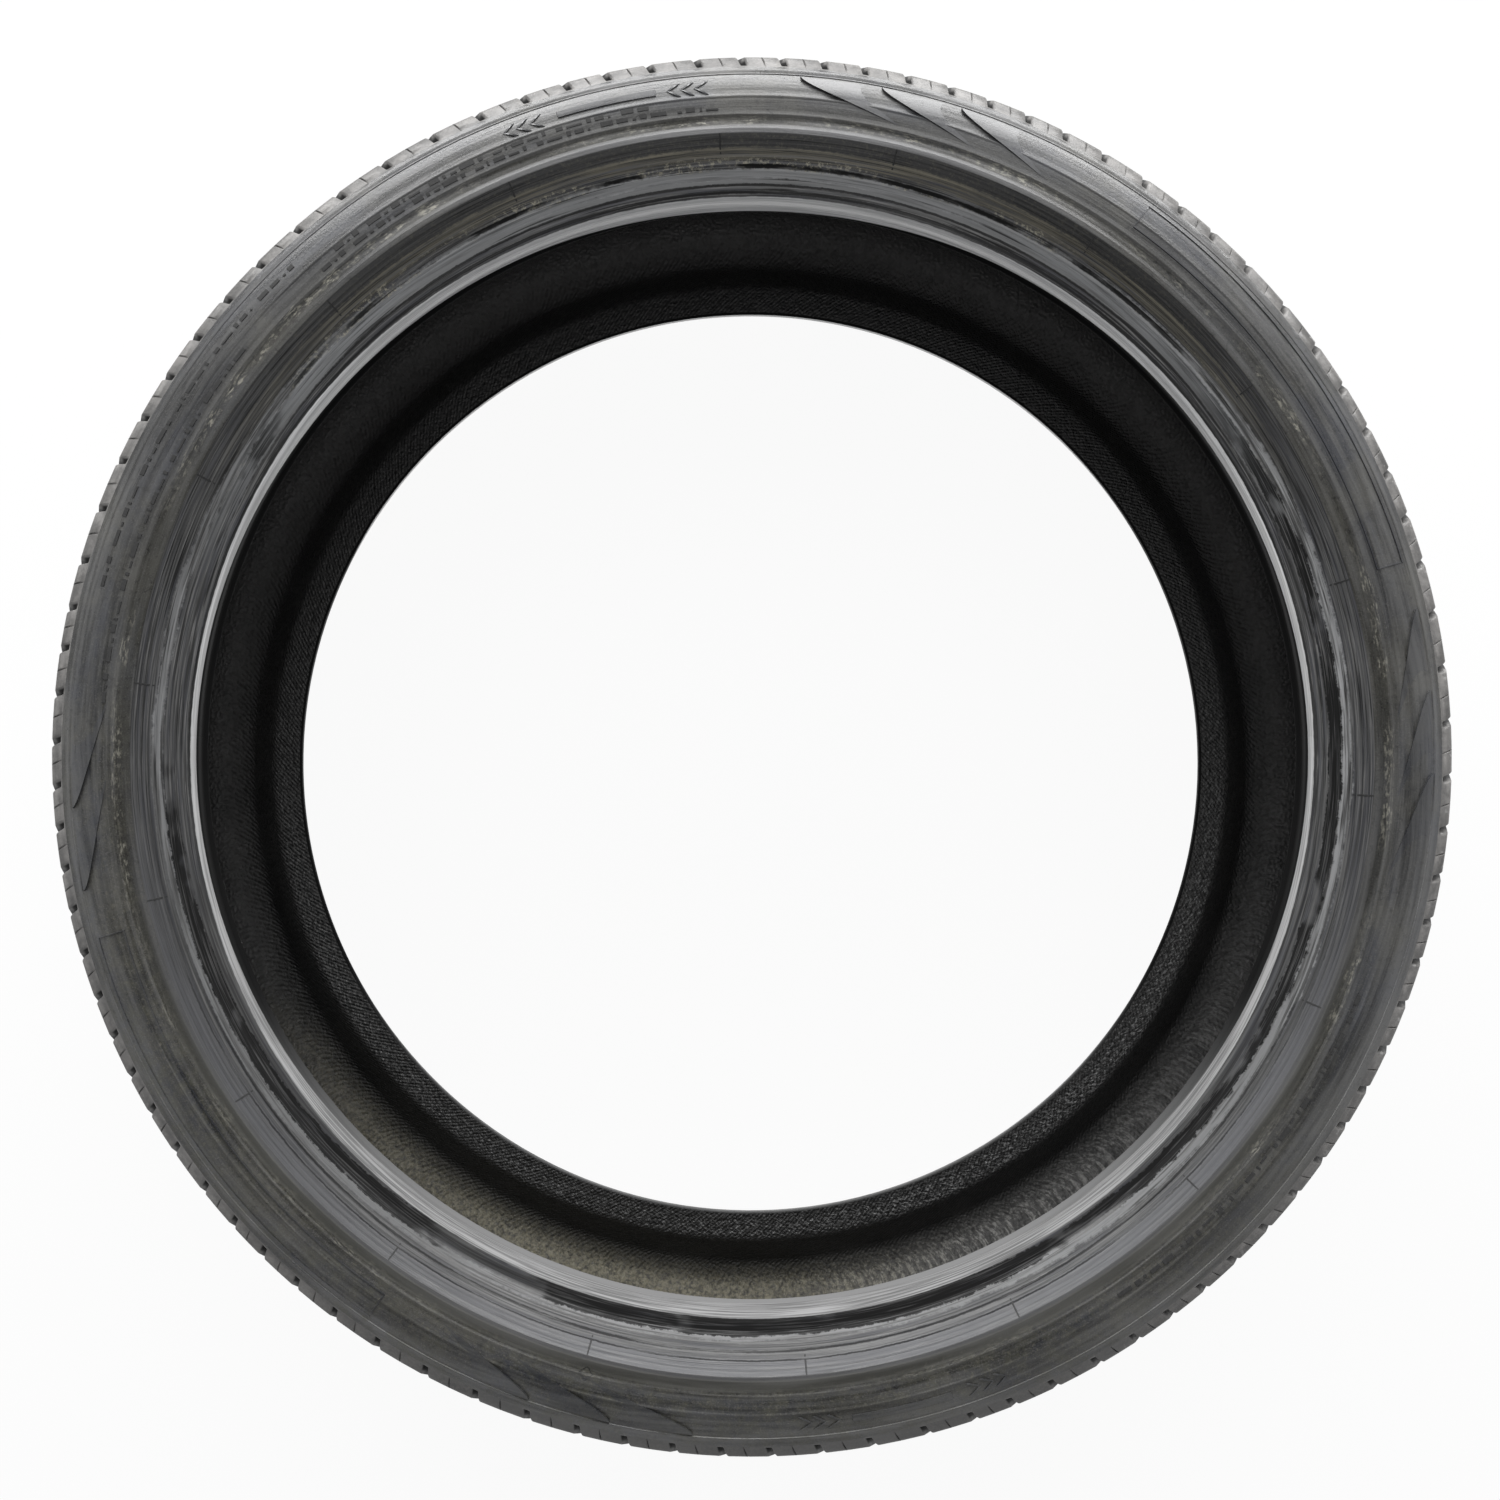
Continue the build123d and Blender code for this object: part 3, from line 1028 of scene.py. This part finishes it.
# Sweeping blades: angles in degrees clockwise from the photo's top, sizes in millimetres
BLADE_ZONES = ((4.0, 27.0), (78.0, 101.0), (185.0, 208.0), (258.0, 275.0))
BLADE_PITCH = 7.0
BLADE_LEAN = 9.0
BLADE_WIDTH = 30.0
BLADE_LIFT = 1.6
BLADE_LOW_LIFT = 0.02
BLADE_STEPS = 24
BLADE_CURVE = 1.5
BLADE_TIP = 2.0
BLADE_OUTER = 308.6
BLADE_INNER = 292.5

# Plain borders around two bare fields
FIELD_ZONES = ((36.0, 74.0), (214.0, 254.0))
FIELD_INNER = 294.4
FIELD_OUTER = 308.2
BORDER_WIDTH = 1.2
BORDER_LIFT = 0.5
BORDER_END_INSET = 0.1

# Chevrons at both ends of a plain bar
CHEVRON_ZONES = ((158.0, 176.0), (338.0, 356.0))
CHEVRON_COUNT = 3
CHEVRON_SPACE = 1.2
CHEVRON_LENGTH = 1.0
CHEVRON_RADIUS = 303.2
CHEVRON_HALF_HEIGHT = 3.2
CHEVRON_WIDTH = 1.9
CHEVRON_LIFT = 0.7
CHEVRON_END = 3.4
BAR_START = 4.8
BAR_END = 4.4
BAR_INNER = 301.4
BAR_OUTER = 305.0
BAR_LIFT = 0.6

# Rows of short bars: first angle, last angle and radius of each row
MARK_ROWS = (
    (112.0, 146.0, 294.0),
    (284.0, 316.0, 303.0),
    (274.0, 309.0, 293.2),
    (318.0, 357.0, 292.0),
    (320.0, 351.0, 295.4),
)
MARK_LENGTHS = (1.1, 0.4, 0.7, 1.5, 0.5, 0.9, 0.3, 1.2)
MARK_GAPS = (0.25, 0.3, 0.9, 0.25, 0.35)
MARK_HEIGHTS = (2.3, 1.5, 2.7)
MARK_LIFT = 0.35

# Thin radial ridges across the upper flank
TICK_FIRST = 13.5
TICK_SPACE = 20.2
TICK_INNER = 274.2
TICK_OUTER = 281.2
TICK_WIDTH = 1.3

# A small diamond, with its half width in degrees
DIAMOND_TURN = 195.0
DIAMOND_RADIUS = 289.6
DIAMOND_HALF_WIDTH = 0.6
DIAMOND_HALF_HEIGHT = 3.0
DIAMOND_LINE = 0.9
DIAMOND_LIFT = 0.5


class Relief:
    """Raised marks that stand on the upper sidewall, each a closed shell sunk a little into it."""

    def __init__(self):
        self.vertices = []
        self.faces = []

    def spot(self, degrees, radius, lift):
        """A place above the plain outside, by degrees clockwise from the photograph's top."""
        angle = math.radians(degrees)
        height = outer_surface(radius, lined=False) + lift
        self.vertices.append((radius * MM * math.sin(angle), radius * MM * math.cos(angle), height * MM))
        return len(self.vertices) - 1

    def loft(self, stations):
        """A closed shell through stations of four places each: foot, top, top, foot."""
        rings = [[self.spot(*place) for place in station] for station in stations]
        for first, second in zip(rings[:-1], rings[1:]):
            for side in range(4):
                following = (side + 1) % 4
                self.faces.append((first[side], first[following], second[following], second[side]))
        self.faces.append(tuple(reversed(rings[0])))
        self.faces.append(tuple(rings[-1]))

    def bar(self, start, end, inner, outer, lift):
        """A bar along the sidewall between two angles and two radii."""
        steps = max(1, math.ceil((end - start) / BAR_STEP_DEG))
        cap = math.degrees(MARK_SLOPE / inner)
        length = end - start - 2.0 * cap
        turns = [start] + [start + cap + length * step / steps for step in range(steps + 1)] + [end]
        stations = []
        for turn in turns:
            top = -MARK_SUNK if turn in (start, end) else lift
            stations.append(
                (
                    (turn, inner, -MARK_SUNK),
                    (turn, inner + MARK_SLOPE, top),
                    (turn, outer - MARK_SLOPE, top),
                    (turn, outer, -MARK_SUNK),
                )
            )
        self.loft(stations)

    def across(self, radius, start, end, slope, near_lift, far_lift):
        """A station across a fin or blade, from one angle to another."""
        return (
            (start, radius, -MARK_SUNK),
            (start + slope, radius, near_lift),
            (end - slope, radius, far_lift),
            (end, radius, -MARK_SUNK),
        )

    def fin(self, start, end, width, lift):
        """A narrow fin between two places on the sidewall, lower at its ends."""
        length = math.hypot(math.radians(end[0] - start[0]) * start[1], end[1] - start[1])
        steps = max(2, math.ceil(length / FIN_STEP))
        stations = []
        for step in range(steps + 1):
            share = step / steps
            turn = start[0] + (end[0] - start[0]) * share
            radius = start[1] + (end[1] - start[1]) * share
            half = math.degrees(width / 2.0 / radius)
            slope = min(math.degrees(MARK_SLOPE / radius), half * FIN_SLOPE_SHARE)
            top = lift if 0 < step < steps else lift * FIN_END_SHARE
            stations.append(self.across(radius, turn - half, turn + half, slope, top, top))
        self.loft(stations)

    def blade(self, start):
        """A sweeping blade: steep along one edge, it falls away to the other and fades out inwards."""
        stations = []
        for step in range(BLADE_STEPS + 1):
            share = step / BLADE_STEPS
            radius = BLADE_OUTER + (BLADE_INNER - BLADE_OUTER) * share
            turn = start + BLADE_LEAN * share**BLADE_CURVE
            reach = math.degrees((BLADE_TIP + (BLADE_WIDTH - BLADE_TIP) * (1.0 - share)) / radius)
            slope = math.degrees(MARK_SLOPE / radius)
            top = BLADE_LIFT * (1.0 - share**2)
            stations.append(self.across(radius, turn, turn + reach, slope, top, BLADE_LOW_LIFT))
        self.loft(stations)

    def make(self, name, material):
        """One piece from all the shells, with their faces turned outwards."""
        mesh = bpy.data.meshes.new(name + "_mesh")
        mesh.from_pydata(self.vertices, [], self.faces)
        turned = bmesh.new()
        turned.from_mesh(mesh)
        bmesh.ops.recalc_face_normals(turned, faces=turned.faces)
        turned.to_mesh(mesh)
        turned.free()
        finish_mesh(mesh, MARK_SHARP_DEG)
        mesh.materials.append(material)
        made = add_object(name, mesh)
        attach(made, "root")


def make_blades(relief):
    """Sweeping blades, broad at the shoulder and narrow at the rim protector."""
    for start, end in BLADE_ZONES:
        turn = start
        while turn + BLADE_LEAN <= end:
            relief.blade(turn)
            turn += BLADE_PITCH


def make_borders(relief):
    """A plain raised border around each bare field."""
    low = FIELD_INNER + BORDER_WIDTH / 2.0
    high = FIELD_OUTER - BORDER_WIDTH / 2.0
    for start, end in FIELD_ZONES:
        relief.bar(start, end, FIELD_INNER, FIELD_INNER + BORDER_WIDTH, BORDER_LIFT)
        relief.bar(start, end, FIELD_OUTER - BORDER_WIDTH, FIELD_OUTER, BORDER_LIFT)
        for turn in (start + BORDER_END_INSET, end - BORDER_END_INSET):
            relief.fin((turn, low), (turn, high), BORDER_WIDTH, BORDER_LIFT)


def make_chevrons(relief):
    """Chevrons that show the way the tyre turns, at both ends of a plain bar."""
    for start, end in CHEVRON_ZONES:
        for first in (start, end - CHEVRON_END):
            for index in range(CHEVRON_COUNT):
                tip = first + CHEVRON_SPACE * index
                for reach in (CHEVRON_HALF_HEIGHT, -CHEVRON_HALF_HEIGHT):
                    tail = (tip + CHEVRON_LENGTH, CHEVRON_RADIUS + reach)
                    relief.fin((tip, CHEVRON_RADIUS), tail, CHEVRON_WIDTH, CHEVRON_LIFT)
        relief.bar(start + BAR_START, end - BAR_END, BAR_INNER, BAR_OUTER, BAR_LIFT)


def make_marks(relief):
    """Rows of short plain bars."""
    for start, end, radius in MARK_ROWS:
        turn = start
        index = 0
        while turn < end:
            length = MARK_LENGTHS[index % len(MARK_LENGTHS)]
            height = MARK_HEIGHTS[index % len(MARK_HEIGHTS)]
            relief.bar(turn, turn + length, radius, radius + height, MARK_LIFT)
            turn += length + MARK_GAPS[index % len(MARK_GAPS)]
            index += 1


def make_ticks(relief):
    """Thin radial ridges across the upper flank, where the mould's segments met."""
    turn = TICK_FIRST
    while turn < 360.0:
        relief.fin((turn, TICK_INNER), (turn, TICK_OUTER), TICK_WIDTH, MARK_LIFT)
        turn += TICK_SPACE


def make_diamond(relief):
    """A small plain diamond beside the rim protector."""
    corners = (
        (DIAMOND_TURN, DIAMOND_RADIUS + DIAMOND_HALF_HEIGHT),
        (DIAMOND_TURN + DIAMOND_HALF_WIDTH, DIAMOND_RADIUS),
        (DIAMOND_TURN, DIAMOND_RADIUS - DIAMOND_HALF_HEIGHT),
        (DIAMOND_TURN - DIAMOND_HALF_WIDTH, DIAMOND_RADIUS),
    )
    for index, corner in enumerate(corners):
        relief.fin(corner, corners[(index + 1) % len(corners)], DIAMOND_LINE, DIAMOND_LIFT)


def make_relief():
    """The raised marks of the upper sidewall, in two finishes."""
    smooth = Relief()
    make_blades(smooth)
    make_borders(smooth)
    make_chevrons(smooth)
    make_diamond(smooth)
    smooth.make("sidewall_relief", relief_material())
    dull = Relief()
    make_marks(dull)
    make_ticks(dull)
    dull.make("sidewall_marks", mark_material())


def make_tyre():
    """The tyre's skin, with one material for each slot of its zones."""
    mesh = build_tyre_mesh()
    tyre = add_object("tyre_body", mesh)
    for make in (tread_material, sidewall_material, flank_material, bead_material, liner_material):
        mesh.materials.append(make())
    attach(tyre, "root")
    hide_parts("tyre")


def seen_rays(nodes):
    """1 for rays from the camera, and for reflected and transmitted ones."""
    rays = nodes.node("LightPath", {}).outputs
    return nodes.highest(rays["Is Camera Ray"], rays["Is Glossy Ray"], rays["Is Transmission Ray"])


def make_floor():
    """A pale floor that shows white to the camera and in reflections, and keeps a soft shadow."""
    corners = ((-6.0, -6.0), (6.0, -6.0), (6.0, 6.0), (-6.0, 6.0))
    mesh = bpy.data.meshes.new("floor_mesh")
    mesh.from_pydata([(x, y, cad_low.z) for x, y in corners], [], [(0, 1, 2, 3)])
    material = bpy.data.materials.new("pale_floor")
    material.use_nodes = True
    material.node_tree.nodes.clear()
    nodes = Nodes(material.node_tree)
    plain = nodes.node("BsdfDiffuse", {"Color": grey(0.82)}).outputs[0]
    white = nodes.node("Emission", {"Color": WHITE, "Strength": 1.0}).outputs[0]
    share = nodes.times(seen_rays(nodes), 0.94)
    blend = nodes.node("MixShader", {0: share, 1: plain, 2: white}).outputs[0]
    nodes.node("OutputMaterial", {"Surface": blend})
    mesh.materials.append(material)
    floor = add_object("floor", mesh)


def make_world():
    """Soft even light, and a white surround to the camera."""
    world = bpy.data.worlds.new("studio")
    bpy.context.scene.world = world
    world.use_nodes = True
    world.node_tree.nodes.clear()
    nodes = Nodes(world.node_tree)
    soft = nodes.node("Background", {"Color": (0.97, 0.98, 1.0, 1.0), "Strength": 0.3}).outputs[0]
    white = nodes.node("Background", {"Color": WHITE, "Strength": 1.0}).outputs[0]
    blend = nodes.node("MixShader", {0: seen_rays(nodes), 1: soft, 2: white}).outputs[0]
    nodes.node("OutputWorld", {"Surface": blend})


def make_lamp(name, place, width, height, watts):
    """A soft lamp that faces the tyre."""
    lamp = bpy.data.lights.new(name, "AREA")
    lamp.shape = "RECTANGLE"
    lamp.size = width
    lamp.size_y = height
    lamp.energy = watts
    made = add_object(name, lamp)
    made.location = place
    made.rotation_mode = "QUATERNION"
    made.rotation_quaternion = (-Vector(place)).to_track_quat("-Z", "Y")


def make_camera():
    """The photograph's viewpoint: down the axle line, a little off centre and tilted back to it."""
    camera = bpy.data.cameras.new("camera")
    camera.sensor_width = 36.0
    camera.lens = 44.49
    made = add_object("camera", camera)
    made.location = (-0.00445, -0.02386, 0.9607)
    made.rotation_euler = (0.028, -0.0037, 0.0)
    bpy.context.scene.camera = made


make_tyre()
make_relief()
make_floor()
make_world()
make_lamp("key_lamp", place=(0.0, 2.3, 1.02), width=3.6, height=1.0, watts=120.0)
make_lamp("top_lamp", place=(0.0, 1.1, 1.65), width=1.9, height=0.8, watts=15.0)
make_camera()
bpy.context.scene.view_settings.view_transform = "Standard"
